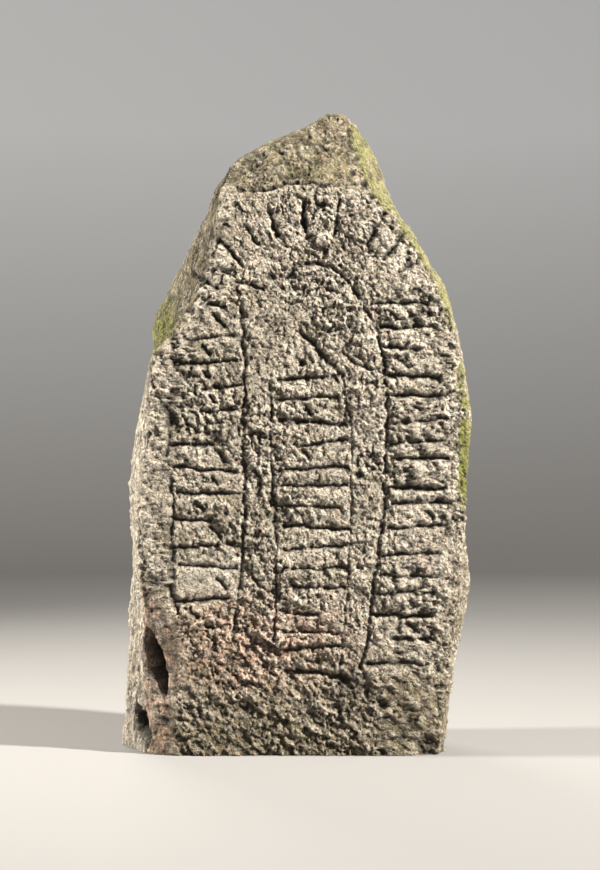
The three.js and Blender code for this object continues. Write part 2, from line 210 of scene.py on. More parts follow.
# The broken skin, from coarse to fine: (width of a piece, its height, how rounded it is, how much of it the
# back keeps, how much higher it is at the foot, seed).
PIECES = [
    (52, 2.0, 0.1, 1, 1.3, 64),
    (33, 2.8, 0.2, 1, 1.2, 61),
    (17, 2.5, 0.15, 1, 1.1, 62),
    (8.5, 2.9, 0.1, 0.5, 1.0, 63),
]

DOME = (0.75, 1.95)  # a rounded piece's top, and how fast it falls
FLAT_TILT = 1.7  # how steep a flat piece lies, at most
LEVELS = 0.9  # how far apart the levels of two pieces may be

# Places are bent before pieces and streaks are drawn on them: (size of the bends, seeds), and how far.
BENDS = (16, (51, 52, 53))
PIECE_BEND, STREAK_BEND = 3.5, 1.0

# Pieces and grit are drawn out downwards to the right, by this turn from level. The pieces' places lose this
# share along it, and so much more at the foot.
SLANT = math.radians(40)
SLANT_SQUEEZE, FOOT_SQUEEZE = 0.22, 0.16

# The split flank's streaks follow the outline at the height divided by this, and keep this share of height.
STREAK_RING, STREAK_RISE = 3, 0.2

# Drifts: (size, seed, the least and the most share), at their ends from this noise value either way.
ROUGH_DRIFT = (190, 3, 0.6, 1.1)
RIDGE_DRIFT = (120, 17, 0.55, 1.15)
LEDGE_DRIFT = (60, 25, 0.25, 1.0)
DRIFT_LIMIT = 0.45

# How much rougher, or smoother where negative, each part of the skin is.
ROUGHER = {
    "foot": 0.15, "crevice": 0.4, "crown": -0.25, "smooth": -0.6, "left_flank": -0.45, "right_flank": -0.2,
    "back": -0.35, "chipped": -0.4,
}

# Parts of the skin by the way it faces: (axis, its direction, where the part starts, where it is full).
FACING = {
    "face": (1, -1, 0.5, 0.75),
    "left": (0, -1, 0.2, 0.85),
    "right": (0, 1, 0.12, 0.5),
    "back": (1, 1, 0.2, 0.7),
    "up": (2, 1, 0.2, 0.6),
}

# Parts of the skin by height shares: (from, to, how softly it ends either way, how ragged its ends are).
BANDS = {
    "foot": (-1, 0.12, 0.14, 0),
    "crown": (0.9, 2, 0.06, 0),
    "creviced": (0.88, 2, 0.1, 0),
    "summit": (0.94, 2, 0.16, 0.06),
    "upper": (0.85, 2, 0.3, 0.12),
    "bulging": (0.66, 0.68, 0.08, 0),
    "damp_stretch": (0.44, 0.5, 0.13, 0.1),
    "edge_stretch": (0.64, 2, 0.16, 0.06),
    "split_top": (0.65, 2, 0.15, 0),
}

# Parts of the skin by depth, in y: (where the part starts, where it is full, how ragged its border is).
FRONTS = {
    "front": (80, -100, 50),
    "wide_front": (160, -100, 60),
    "carved_front": (0, -100, 0),
    "crevice_front": (100, 0, 0),
    "edge_front": (110, -160, 130),
    "damp_front": (30, -150, 80),
}
DAMP_MIDDLE, DAMP_TAPER = 0.49, 1100  # height share where damp_front is widest, and how it narrows from there

# Patches of the face: (x, z, half width, half height) in mm, and how square they are.
PATCHES = {
    "smooth": (-222, 440, 85, 59, 4),
    "soiled": (130, 180, 45, 50, 2),
    "red": (-100, 280, 200, 115, 3),
}
PATCH_BEND = 5

# From where to where the left half of the face, which gets painted shade, the bulge and, past the right
# arris, the edge rise, how far the crevice reaches from that arris, and what summit and upper part add to the
# facet.
SHADED_LEFT_HALF, BULGE, RIGHT_EDGE = (0.1, -0.5), (-0.6, -0.78), (0.0, 0.05)
CREVICE_REACH = 0.09
FACET_SHARES = (0.74, 0.26)

# Growth and films that the material reads: (part of the skin, its share, how much the growth noise adds).
COVERS = {
    "lichen": [
        ("facet", 0.54, 1.1), ("bulge", 0.4, 0), ("edge", 0.85, 0.9), ("up", 0.35, 0), ("all", 0, 0.35),
    ],
    "moss": [("damp_edge", 1.0, 1.5), ("bulge", 0.95, 1.0)],
    # Aged: weathered patches, and painted shade on the upward-facing skin, the crown and the face's left
    # half.
    "aged": [
        ("up", 0.7, 0), ("crown", 0.75, 0), ("right", 0.5, 0), ("shaded_left_half", 0.25, 0.3), ("all", 0, 0.35),
    ],
    "stain": [("red", 1, 0), ("chipped", 0.8, 0)],
    "bleach": [("smooth", 1, 0), ("left_low", 0.9, 0.5)],
    "soiled": [("soiled", 1, 0)],
}
# The damp darkens the skin towards the foot, and is partly painted shade where the light falls off low down.
DAMP = (320, 20)  # heights from where to where the damp rises
DAMP_RAGGED = [(90, 120, 45)]

# Shares that are left of the ridges on the chip, and of their film at the back and low on the flank; and
# shares that ridged skin loses of its crests, and the left flank of its damp.
RIDGED_CHIP, RIDGED_BACK, SPLIT_LOW, CREST_LOSS, DAMP_LOSS = 0.6, 0.3, 0.2, 0.6, 0.7
CARVED = (0.3, 0.65)  # how far the skin has to face forwards to be carved

# Cavities and crests show against the mean level round them: (reach in grid steps, weight). The cavities get
# painted shade. They count from this share, and are full at this depth or height.
ROUND = [(5, 1.0), (14, 0.5)]
CAVITY_SHADE_START, CAVITY_SHADE_FULL, CREST_FULL = 0.08, 5.0, 6.0
# The hollows at the left arris get painted shade, darker the deeper they are.
HOLLOW_SHADE_FULL = 30  # depth from which a hollow is as dark as it gets
FOOT_EASE = 25  # height over which the upward part of the relief dies out towards the foot

# Weathering pits: (spacing, radius, share of the places that have one, seed); the smallest's share of the
# radius, and the share of their reach that is flat.
PITS = [(11, 4.4, 0.55, 31), (19, 6.5, 0.3, 33), (37, 10.0, 0.25, 32)]
PIT_LEAST, PIT_FLOOR = 0.5, 0.2

# Noises of the skin, and of the growth, whose heights are shares. The back loses a share of the grain swells.
FACE_SWELLS = [(170, 5.0, 1), (75, 3.4, 2)]
GRAIN_SWELLS = [(30, 2.4, 71), (14, 2.0, 72), (7, 1.3, 73)]
BACK_GRAIN_LOSS = 0.5
BACK_SWELLS = [(230, 7.0, 5), (105, 3.0, 6)]
STREAKS = [(95, 9.0, 7), (44, 6.0, 8), (20, 6.5, 9), (10, 4.5, 10)]
GROWTH = [(90, 0.8, 41), (33, 0.5, 42), (12, 0.3, 44)]

# Single features of the face: (x, z, radius, height), a hollow where the height is negative.
SPOT_REACH, SPOT_SQUARE = 0.8, 4  # share of the radius where it falls, and how steeply
SPOTS = [
    (75, 1290, 23, 17), (36, 1296, 11, -9), (18, 979, 11, -14), (-60, 1196, 16, -9), (-128, 1168, 20, 6),
    (160, 700, 14, -8), (118, 186, 24, -9), (60, 236, 14, -8), (220, 128, 18, -7), (330, 20, 34, -14),
    (158, 1506, 9, -8), (146, 1462, 10, -8), (176, 1440, 12, -10), (196, 1398, 11, -9),
    (-40, 1462, 30, 7), (30, 1520, 26, 6),
]

# Patterns of the granite: (size, detail, roughness, the noise values where it starts and is full, and
# what it is drawn on: the skin as it is, the slanted skin of the pecking, or the split flank).
PATTERNS = {
    "film": (110, 4, 0.55, 0.36, 0.70, "skin"),
    "drift": (55, 6, 0.65, 0.62, 0.36, "skin"),
    "rust": (30, 5, 0.70, 0.40, 0.62, "skin"),
    # Dark specks: dark grains, and painted shade of the tiny pits between them.
    "speck": (5, 4, 0.75, 0.465, 0.42, "pecked"),
    "tone": (20, 5, 0.65, 0.38, 0.62, "skin"),
    "grains": (16, 6, 0.75, 0.0, 1.0, "skin"),
    "grit": (6, 5, 0.75, 0.0, 1.0, "pecked"),
    "patches": (40, 6, 0.70, 0.47, 0.56, "skin"),
    "streaks": (6, 4, 0.60, 0.53, 0.43, "split"),
    "pale_streaks": (10, 4, 0.60, 0.51, 0.62, "split"),
}
SLANT_STRETCH = 1.7

# The minerals, each from its share of the crystals upwards. Their borders have bends of this size, by this
# share of a grain.
MINERALS = [(0, "feldspar"), (0.42, "quartz"), (0.74, "rose"), (0.85, "mica")]
BORDER_SIZE, BORDER_BEND = 6, 1.2

# Growth stands in grains that close up to a crust: (how much the grains break it up, where it starts and is
# full, and its two colours).
GROWTHS = {"lichen": (3.0, 1.85, 2.55, "lichen", "pale_lichen"), "moss": (1.8, 1.1, 1.6, "moss", "pale_moss")}

# The coats over the crystals, from the first: (colour, how it is mixed, the shares it follows, strength).
COATS = [
    ("crust", "MIX", ["film"], 0.5),
    ("weathered", "MIX", ["split"], 0.9),
    # The weathered film over the aged parts, which is partly painted shade on the crown and the left half.
    ("weathered", "MIX", ["aged", "patches"], 0.9),
    # Painted shade dims the crown, the upward-facing skin and the face's left half.
    ("damp_and_shade", "MULTIPLY", ["aged"], 0.65),
    ("shade", "MULTIPLY", ["drift"], 1.0),
    # Darker towards the foot: damp, deepened as painted shade where the light falls off.
    ("damp_and_shade", "MULTIPLY", ["damp"], 1.0),
    ("bleached", "MIX", ["crest"], 0.35),
    ("bleached", "MIX", ["bleach"], 0.35),
    ("bleached", "MIX", ["ridged", "pale_streaks"], 0.4),
    ("stain", "MIX", ["stain", "rust"], 0.45),
    ("lichen", "MIX", ["lichen"], 0.85),
    ("moss", "MIX", ["moss"], 1.0),
    ("soil_and_shade", "MIX", ["ridged", "streaks"], 0.62),
    # Dark specks: dark grains and the painted shade of tiny pits.
    ("soil_and_shade", "MIX", ["speck"], 0.66),
    # Painted shade in the cavities of the relief, below the mean level round them.
    ("soil_and_shade", "MIX", ["cavity"], 0.9),
    ("soil_and_shade", "MIX", ["soiled"], 0.6),
    # Painted shade in the hollows at the left arris.
    ("soil_and_shade", "MIX", ["deep"], 0.96),
]

# Bumps, and how far a crystal stands out for its random value. The dullest crystal's roughness, and how much
# less the brightest has. Bare weathered stone has an IOR near 1.5.
GRIT_BUMP, STREAK_BUMP, CRYSTAL_BUMP, CRYSTAL_RISE = 12, 3, 2.4, 0.5
DULLEST, GLINT, STONE_IOR = 0.95, 0.25, 1.5

# The stage, in metres: rings of the level part, the wall's top, and the steps of a quarter turn. The lamps:
# (power, share of it, width, spread in degrees, place, tint).
FLOOR_RINGS, WALL_TOP, FLOOR_STEPS = (0.5, 2.0, 4.0, 6.5), 8.0, 24
PAPER_ROUGHNESS = 0.95
LAMPS = {
    "key": ("key_power", 1.0, 0.46, 120, (6.9, -3.1, 6.2), "#fffaf3"),
    "fill": ("fill_power", 1.0, 3.0, 80, (-1.0, -5.0, 1.8), "#f6f7ff"),
    "left_edge": ("edge_power", 4.6, 0.7, 80, (-6.3, -0.25, 2.9), "#fff8ee"),
    "back": ("edge_power", 1.0, 2.5, 80, (-1.8, 4.6, 3.2), "#fff8ee"),
}
AIR_TINT, AIR_STRENGTH = "#e4e6ea", 0.12
CAMERA_SIDE, CAMERA_CLIP = 0.03, 60  # share of the half width to the right, and how far it sees in metres
# fmt: on


def linear(hex_colour):
    """An sRGB hex colour as linear RGB: a channel under 0.04045 is divided, and the rest follow a power."""
    channels = [int(hex_colour[i : i + 2], 16) / 255 for i in (1, 3, 5)]
    return [c / 12.92 if c <= 0.04045 else ((c + 0.055) / 1.055) ** 2.4 for c in channels]


def measure(name, description, default, unit="LENGTH"):
    """A property in metres, or in another unit."""
    return FloatProperty(name=name, description=description, default=default, unit=unit)


def colour(name, description, hex_colour):
    """A colour property whose default is an sRGB hex value."""
    default = linear(hex_colour)
    return FloatVectorProperty(
        name=name, description=description, subtype="COLOR", size=3, min=0, max=1, default=default
    )


class StoneSizes(PropertyGroup):
    """Sizes of the stone's relief and carving."""

    rows: IntProperty(name="Rows", description="Rings of the skin from foot to summit", default=600, min=40)
    triangles: IntProperty(name="Triangles", description="What the skin is thinned to", default=198000)
    roughness: FloatProperty(name="Roughness", description="How much the pecked knobs stand up", default=1.0)
    pit_depth: measure("Pit depth", "Depth of the deepest weathering pits", 5.0 * MM)
    stroke_width: measure("Stroke half width", "Half the width of a carved stroke", 6.2 * MM)
    stroke_depth: measure("Stroke depth", "Depth of a carved stroke", 11.5 * MM)
    line_width: measure("Line half width", "Half the width of a frame line", 5.2 * MM)
    line_depth: measure("Line depth", "Depth of a frame line", 7.4 * MM)
    grain: measure("Grain", "Width of one crystal of the granite", 4.5 * MM)


class StoneColours(PropertyGroup):
    """Colours of the granite and of what grows on it."""

    feldspar: colour("Feldspar", "The pale crystals", "#d6ccba")
    rose: colour("Rose feldspar", "The pinkish crystals", "#bd9c86")
    quartz: colour("Quartz", "The grey crystals", "#999282")
    mica: colour("Mica", "The dark flecks", "#3d362c")
    crust: colour("Crust", "The olive brown film on weathered skin", "#7d7156")
    # The weathered colour also paints shade over the aged crown and left half.
    weathered: colour("Weathered", "The darker film on split and rained-on skin", "#665a30")
    shade: colour("Shade", "What the darker drifts are dimmed by", "#bdb9b2")
    # Damp and shade dims the damp foot, and paints shade on the crown and the face's left half.
    damp_and_shade: colour("Damp", "What damp and aged skin is dimmed by", "#b9b092")
    stain: colour("Iron stain", "The reddish patches", "#dea689")
    # Soil also serves as painted shade in the cavities, the hollows and the small pits.
    soil_and_shade: colour("Soil", "Dirt and dark algae in the hollows", "#1d1a15")
    bleached: colour("Bleached", "The worn crests of the skin", "#e4dbc9")
    lichen: colour("Lichen", "The yellow-green growth", "#6c6b30")
    pale_lichen: colour("Pale lichen", "The cream rims of the growth", "#8f8b5b")
    pale_moss: colour("Pale moss", "The fresh tips of the moss", "#7b7a34")
    moss: colour("Moss", "The deeper green of the damp edge", "#64651a")


class StageSettings(PropertyGroup):
    """The floor, the lights and the camera."""

    floor: colour("Floor", "The pale studio floor", "#666563")
    bend: measure("Bend", "Radius of the paper's sweep", 3.0)
    glow: FloatProperty(name="Glow", description="How bright the upright paper is by itself", default=0.3)
    camera_distance: measure("Camera distance", "From the lens to the carved face", 5.0)
    view_height: measure("View height", "Height of the view at the carved face", 1.329 * HEIGHT)
    eye_height: measure("Eye height", "Camera height over the floor", 0.491 * HEIGHT)
    key_power: measure("Key power", "Power of the raking key light", 2000.0, "POWER")
    fill_power: measure("Fill power", "Power of the soft front light", 3.0, "POWER")
    edge_power: measure("Edge power", "Power of the lights on the flank and the back", 76.0, "POWER")


GROUPS = {
    "rune_stone_sizes": StoneSizes,
    "rune_stone_colours": StoneColours,
    "rune_stone_stage": StageSettings,
}


def along(profile, at):
    """A smooth curve through a profile's rows: cubics whose slope at a row is that between its neighbours."""
    t, v = np.array(profile, float).T
    before, after = np.maximum(np.arange(len(t)) - 1, 0), np.minimum(np.arange(len(t)) + 1, len(t) - 1)
    slope = (v[after] - v[before]) / (t[after] - t[before])
    x = np.clip(at, t[0], t[-1])
    k = np.clip(np.searchsorted(t, x, side="left") - 1, 0, len(t) - 2)
    span = t[k + 1] - t[k]
    s = (x - t[k]) / span
    return (
        v[k] * (1 + 2 * s) * (1 - s) ** 2
        + slope[k] * span * s * (1 - s) ** 2
        + v[k + 1] * s**2 * (3 - 2 * s)
        + slope[k + 1] * span * s**2 * (s - 1)
    )


def ease(low, high, x):
    """0 up to low, 1 from high, and a cubic that leaves and arrives level between them."""
    t = np.clip((x - low) / (high - low), 0, 1)
    return t * t * (3 - 2 * t)


def wobble(i, seed):
    """A value from 0 to 1 that looks random, always the same for the same pair."""
    v = math.sin(i * 12.9898 + seed * 78.233) * 43758.5453
    return v - math.floor(v)


def scattered(cell, seed):
    """Three random values from 0 to 1 for each whole-number cell: bits of its numbers and the seed, mixed by
    multiplying, shifting and folding."""
    columns = cell.astype(np.int32).astype(np.uint32).T
    factors = (0x9E3779B1, 0x85EBCA77, 0xC2B2AE3D)
    x, y, z = (column * np.uint32(factor) for column, factor in zip(columns, factors))
    mixed = (x ^ y ^ z) + np.uint32(seed * 0x27D4EB2F % 2**32)
    for shift, factor in ((15, 0x2C1B3C6D), (12, 0x297A2D39), (15, 0x1B873593)):
        mixed = (mixed ^ (mixed >> np.uint32(shift))) * np.uint32(factor)
    mixed = mixed ^ (mixed >> np.uint32(16))
    return np.stack([(mixed >> np.uint32(bits)) & np.uint32(1023) for bits in (0, 11, 22)], axis=1) / 1023


def noise(points, size, seed, gain=1.6):
    """Smooth noise from about -1 to 1: a random slope at each corner of a lattice of cubes, size apart, and
    the eight slopes round a point blended by quintic steps and raised by the gain."""
    p = points / size
    cell = np.floor(p)
    f = p - cell
    w = f**3 * (f * (6 * f - 15) + 10)
    total = np.zeros(len(p))
    for corner in np.ndindex(2, 2, 2):
        slopes = 2 * scattered(cell + corner, seed) - 1
        total += ((f - corner) * slopes).sum(axis=1) * np.where(corner, w, 1 - w).prod(axis=1)
    return gain * total


def cells(points, size, seed, own_seed=200):
    """The way, in metres, to the nearest of the points scattered one to a cube, size apart, and three random
    values from 0 to 1 that belong to that nearest point."""
    p = points / size
    here = np.floor(p)
    nearest = np.full(len(p), np.inf)
    way, owner = np.zeros(p.shape), here.copy()
    for step in np.ndindex(3, 3, 3):
        cell = here + np.array(step) - 1
        away = cell + scattered(cell, seed) - p
        distance = (away * away).sum(axis=1)
        closer = distance < nearest
        nearest[closer] = distance[closer]
        way[closer] = away[closer]
        owner[closer] = cell[closer]
    return way * size, scattered(owner, seed + own_seed)


def layered(points, layers):
    """The sum of smooth noises, each of its own size and height."""
    return sum(height * noise(points, size * MM, seed) for size, height, seed in layers)


def broken(points, size, rounded, seed):
    """Broken pieces from about -1 to 1: each cell of a scatter stands at a level of its own, and is a dome, a
    tilted flat, or between the two by its rounded share."""
    way, own = cells(points, size, seed)
    away = way / size
    dome = DOME[0] - DOME[1] * (away * away).sum(axis=1)
    flat = FLAT_TILT * (away * (2 * own - 1)).sum(axis=1)
    level = LEVELS * (scattered(np.floor(own * 1023), seed)[:, 0] - 0.5)
    return rounded * dome + (1 - rounded) * flat + level


def bent(places, points, far):
    """Places moved by smooth noise, up to about far metres each way."""
    size, seeds = BENDS
    return places + far * np.stack([noise(points, size * MM, seed) for seed in seeds], axis=1)


def drift(points, size, seed, least, most):
    """A share that drifts between the least and the most over about that size in mm."""
    return least + (most - least) * ease(-DRIFT_LIMIT, DRIFT_LIMIT, noise(points, size * MM, seed))


def band(height, low, high, soft):
    """1 between the low and the high end, and down to 0 over the soft length beyond each."""
    return ease(low - soft, low, height) * ease(high + soft, high, height)


def section_corners(h):
    """The plan section's seven corners at each height share, in shares of the half width and half depth."""
    left, right = along(LEFT_FLANK, h), along(RIGHT_FLANK, h)
    middle, half = (left + right) / 2, (right - left) / 2
    face, back = along(FACE_DEPTH, h), along(BACK_DEPTH, h)
    corners = [
        (along(LEFT_ARRIS, h), face),
        (along(RIGHT_ARRIS, h), face),
        (right, along(RIGHT_FLANK_DEPTH, h)),
        *((middle + across * half, depth * back) for across, depth in BACK_CORNERS),
        (left, along(LEFT_FLANK_DEPTH, h)),
    ]
    return np.array(corners).transpose(2, 0, 1)


def skin_grid(rows):
    """The smooth skin as rows of points, in metres. Each row is the plan section at one height: straight
    edges joined by quadratic curves, each corner pulled outwards so that its curve passes through the named
    corner. Swells move the points away from their row's middle, and the plan is fitted to the frame's box."""
    h = np.linspace(0, TOP_RING, rows)
    named = section_corners(h)
    before, after = np.roll(named, 1, axis=1), np.roll(named, -1, axis=1)
    soft = np.array([c[0] for c in CORNERS])[None, :, None]
    pulled = (named - 0.25 * soft * (before + after)) / (1 - 0.5 * soft)
    points = []
    for i, (softness, arc, edge) in enumerate(CORNERS):
        last, this, following = (pulled[:, (i + k) % len(CORNERS), None] for k in (-1, 0, 1))
        start, end = this + (last - this) * softness, this + (following - this) * softness
        t = (np.arange(arc) / arc)[None, :, None]
        points.append(start * (1 - t) ** 2 + 2 * this * t * (1 - t) + end * t**2)
        next_start = following + (this - following) * CORNERS[(i + 1) % len(CORNERS)][0]
        points.append(end + (next_start - end) * (np.arange(edge) / edge)[None, :, None])
    plan = np.concatenate(points, axis=1) * [HALF_WIDTH, HALF_DEPTH]
    z = np.broadcast_to(h[:, None] * HEIGHT, plan.shape[:2])
    swell = np.zeros(z.shape)
    for size, wx, wy, wz, phase in SWELLS:
        swell += (
            size * MM
            * np.sin(2 * math.pi * plan[..., 0] / (wx * MM) + phase)
            * np.cos(2 * math.pi * plan[..., 1] / (wy * MM) + 2 * phase)
            * np.sin(2 * math.pi * z / (wz * MM) + 3 * phase)
        )  # fmt: skip
    middle = plan.mean(axis=1, keepdims=True)
    out = np.linalg.norm(plan - middle, axis=2)
    plan = middle + (plan - middle) * (1 + swell * np.minimum(1, out / (SWELL_REACH * MM)) / out)[..., None]
    low, high = plan.min(axis=(0, 1)), plan.max(axis=(0, 1))
    scale = np.array([STONE_SIZE.x, STONE_SIZE.y]) / (high - low)
    plan = (plan - (low + high) / 2) * scale + [STONE_MIDDLE.x, STONE_MIDDLE.y]
    return np.concatenate([plan, z[..., None]], axis=2)


def grid_normals(grid):
    """Outward normals of a grid that closes sideways: the cross product of the steps sideways and upwards."""
    sideways = np.roll(grid, -1, axis=1) - np.roll(grid, 1, axis=1)
    upwards = np.gradient(grid, axis=0)
    normals = np.cross(sideways, upwards)
    return normals / np.maximum(np.linalg.norm(normals, axis=2, keepdims=True), 1e-12)


def row_strokes(row):
    """The strokes of one row as pairs of face shares: one across the row at uneven steps, and in each wide
    enough gap a short slanting tick that touches no other stroke."""
    seed, strokes = row["seed"], row["strokes"]
    step = (row["top"] - row["bottom"]) / (strokes - 1)
    heights = [row["top"] - step * (i + STROKE_SHIFT * (wobble(i, seed) - 0.5)) for i in range(strokes)]
    made = []
    for i, h in enumerate(heights):
        a, b = float(along(row["left"], h)) + ROW_INSET, float(along(row["right"], h)) - ROW_INSET
        short = LONG_STOP if wobble(i, seed + 10) > 1 - SHORT_STROKES else NEAR_STOP
        start, stop = (0, short) if wobble(i, seed + 20) > 0.5 else (short, 0)
        tilt = STROKE_TILT * (wobble(i, seed + 30) - 0.5)
        made.append([(a + (b - a) * start, h - tilt), (b - (b - a) * stop, h + tilt)])
        if i + 1 < strokes and h - heights[i + 1] > TICK_GAP:
            middle = a + (b - a) * np.interp(wobble(i, seed + 40), (0, 1), TICK_PLACES)
            centre = (h + heights[i + 1]) / 2
            rise = min(TICK_MOST, (h - heights[i + 1]) / 2 - TICK_CLEAR)
            run = rise * (HEIGHT / HALF_WIDTH) * TICK_RUN
            made.append([(middle - run, centre + rise), (middle + run, centre - rise)])
    return made


def arch_strokes():
    """The strokes that fan out over the arch, as pairs of face shares."""
    made = []
    for i in range(ARCH["strokes"]):
        share = (i + ARCH["turn_spread"] * (wobble(i, ARCH["seed"]) - 0.5)) / (ARCH["strokes"] - 1)
        turn = math.radians(ARCH["from"] + (ARCH["to"] - ARCH["from"]) * share)
        inner = ARCH["inner"] + ARCH["inner_spread"] * wobble(i, ARCH["seed"] + 10)
        outer = ARCH["outer"] - ARCH["outer_spread"] * wobble(i, ARCH["seed"] + 20)
        made.append([
            (ARCH["x"] + r * MM * math.cos(turn) / HALF_WIDTH, ARCH["z"] + r * MM * math.sin(turn) / HEIGHT)
            for r in (inner, outer)
        ])  # fmt: skip
    return made


def groove_depth(face, paths, width, depth, shares):
    """Depth of the grooves along paths at each face point: a narrow cut, steep near a path's line, and the
    worn shoulder round it. A path is a run of straight pieces with a share of width and depth of its own."""
    narrow, wide = np.zeros(len(face)), np.zeros(len(face))
    for path, own in zip(paths, shares):
        line = np.array(path) * [HALF_WIDTH, HEIGHT]
        for a, b in zip(line[:-1], line[1:]):
            low, high = np.minimum(a, b) - GROOVE_REACH * width, np.maximum(a, b) + GROOVE_REACH * width
            near = np.flatnonzero(((face > low) & (face < high)).all(axis=1))
            if len(near) == 0:
                continue
            t = np.clip((face[near] - a) @ (b - a) / ((b - a) @ (b - a)), 0, 1)
            distance = np.linalg.norm(face[near] - a - t[:, None] * (b - a), axis=1) / (width * own)
            narrow[near] = np.maximum(narrow[near], own * (1 - ease(0.0, CUT[0], distance)))
            wide[near] = np.maximum(wide[near], own * np.exp(-((distance / SHOULDER[0]) ** 2)))
    return depth * (CUT[1] * narrow + SHOULDER[1] * wide)


def carving_depth(points, sizes):
    """Depth of the strokes and frame lines, which wander and are nearly worn away in places."""
    face = points[:, [0, 2]] - [STONE_MIDDLE.x, STONE_LOW.z]
    for size, far, seeds in WANDER:
        face = face + far * MM * np.stack([noise(points, size * MM, seed) for seed in seeds], axis=1)
    worn = ease(*WORN_LIMITS, layered(points, WORN))
    strokes = [stroke for row in ROWS for stroke in row_strokes(row)]
    uneven = [np.interp(wobble(i, SHARES_SEED), (0, 1), STROKE_SHARES) for i in range(len(strokes))]
    width, depth = sizes.stroke_width, sizes.stroke_depth
    cut = np.zeros(len(points))
    for paths, shares, path_width, path_depth, kept in (
        (strokes, uneven, width, depth, STROKES_KEEP),
        (arch_strokes(), uneven, ARCH_WIDTH * width, ARCH_DEPTH * depth, ARCH_KEEPS),
        (FRAME_LINES, LINE_SHARES, sizes.line_width, sizes.line_depth, LINES_KEEP),
    ):
        whole = groove_depth(face, paths, path_width, path_depth, shares)
        cut = np.maximum(cut, whole * (kept + (1 - kept) * worn))
    return cut


def hollow_depth(points):
    """Depth of the hollows at the left arris: a leaning lens with pointed ends, level inside, steep rims."""
    total = np.zeros(len(points))
    rim = layered(points, HOLLOW_RIM)
    for x, z, half_across, half_along, lean, depth in HOLLOWS:
        turn = math.radians(lean)
        dx, dz = points[:, 0] - x * MM, points[:, 2] - z * MM
        across, up = dx * math.cos(turn) + dz * math.sin(turn), dz * math.cos(turn) - dx * math.sin(turn)
        reach = np.abs(across) / (half_across * MM) + (up / (half_along * MM)) ** 2 + rim
        total = np.maximum(total, depth * MM * (1 - ease(*HOLLOW_WALL, reach)))
    return total * ease(0, -HOLLOW_FADE * MM, points[:, 1])


def chip_depth(points):
    """Depth of the chip on the left arris: a slope that starts at the chip's edge and falls away to the left
    and dies out towards the middle of the flank."""
    edge = along(CHIP_EDGE, points[:, 2] / HEIGHT) * HALF_WIDTH + MM * layered(points, CHIP_RAGGED)
    slope = np.clip(CHIP_SLOPE * (edge - points[:, 0]), 0, CHIP_MOST * MM)
    return slope * ease(0, -CHIP_FADE * MM, points[:, 1])


def ledge_depth(points):
    """How far the face is split back over the ledge: a sharp step that eases out upwards and at both ends,
    with a groove at its foot."""
    heights, places = [h for x, h in LEDGE], [x for x, h in LEDGE]
    x = points[:, 0] / HALF_WIDTH
    line = np.interp(x, places, heights) * HEIGHT + MM * layered(points, LEDGE_RAGGED)
    over = (points[:, 2] - line) / MM
    ends = band(x, places[0] + LEDGE_ENDS, places[-1] - LEDGE_ENDS, 2 * LEDGE_ENDS)
    ends = ends * drift(points, *LEDGE_DRIFT)
    step = LEDGE_STEP * ease(*LEDGE_RISE, over) * ease(*LEDGE_EASE, over)
    groove = LEDGE_GROOVE * np.exp(-(((over - LEDGE_GROOVE_PLACE) / LEDGE_GROOVE_WIDTH) ** 2))
    return MM * ends * (step + groove)


def spot_height(points):
    """The single knobs and pits of the face: each is a rounded bell of its own height."""
    total = np.zeros(len(points))
    for x, z, radius, height in SPOTS:
        distance = np.hypot(points[:, 0] - x * MM, points[:, 2] - z * MM)
        total += height * MM * np.exp(-((distance / (SPOT_REACH * radius * MM)) ** SPOT_SQUARE))
    return total


def blurred(field, reach):
    """The mean over a square of grid points, taken along the rows and then up the columns."""
    side = 2 * reach + 1
    wide = np.concatenate([field[:, -reach:], field, field[:, :reach]], axis=1)
    total = np.cumsum(np.pad(wide, ((0, 0), (1, 0))), axis=1)
    across = (total[:, side:] - total[:, :-side]) / side
    tall = np.cumsum(np.pad(np.pad(across, ((reach, reach), (0, 0)), mode="edge"), ((1, 0), (0, 0))), axis=0)
    return (tall[side:] - tall[:-side]) / side


def regions(points, outward, growth):
    """How far each point is in each part of the skin, by the way it faces and where it lies."""
    x, y, height = points[:, 0] / HALF_WIDTH, points[:, 1] / MM, points[:, 2] / HEIGHT
    part = {"all": np.ones(len(points))}
    for name, (axis, side, start, full) in FACING.items():
        part[name] = ease(start, full, side * outward[:, axis])
    for name, (low, high, soft, ragged) in BANDS.items():
        part[name] = band(height + ragged * growth, low, high, soft)
    taper = {"damp_front": DAMP_TAPER * np.abs(height - DAMP_MIDDLE)}
    for name, (start, full, ragged) in FRONTS.items():
        part[name] = ease(start, full, y + ragged * growth + taper.get(name, 0))
    face = bent(points, points, PATCH_BEND * MM)[:, [0, 2]] / MM
    for name, (across, up, half_width, half_height, square) in PATCHES.items():
        way = np.abs((face - (across, up)) / (half_width, half_height))
        part[name] = np.exp(-(way**square).sum(axis=1)) * part["carved_front"]

    part["shaded_left_half"] = ease(*SHADED_LEFT_HALF, x) * part["face"]
    part["left_flank"] = (1 - part["face"]) * part["left"]
    part["left_low"] = part["left_flank"] * (1 - part["split_top"])
    part["right_flank"] = (1 - part["face"]) * part["right"]
    part["chipped"] = ease(0, CHIP_SEEN * MM, chip_depth(points)) * part["face"]
    past_arris = x - along(RIGHT_ARRIS, height)
    near_arris = np.exp(-((past_arris / CREVICE_REACH) ** 2))
    part["crevice"] = near_arris * part["creviced"] * part["crevice_front"]
    right_edge = ease(*RIGHT_EDGE, past_arris)
    part["edge"] = right_edge * part["edge_stretch"] * part["edge_front"]
    part["damp_edge"] = right_edge * part["damp_stretch"] * part["damp_front"]
    top = FACET_SHARES[0] * part["summit"] + FACET_SHARES[1] * part["upper"]
    part["facet"] = part["right"] * (1 + part["wide_front"]) / 2 * top
    part["bulge"] = part["left"] * part["bulging"] * ease(*BULGE, x) * part["wide_front"]
    return part


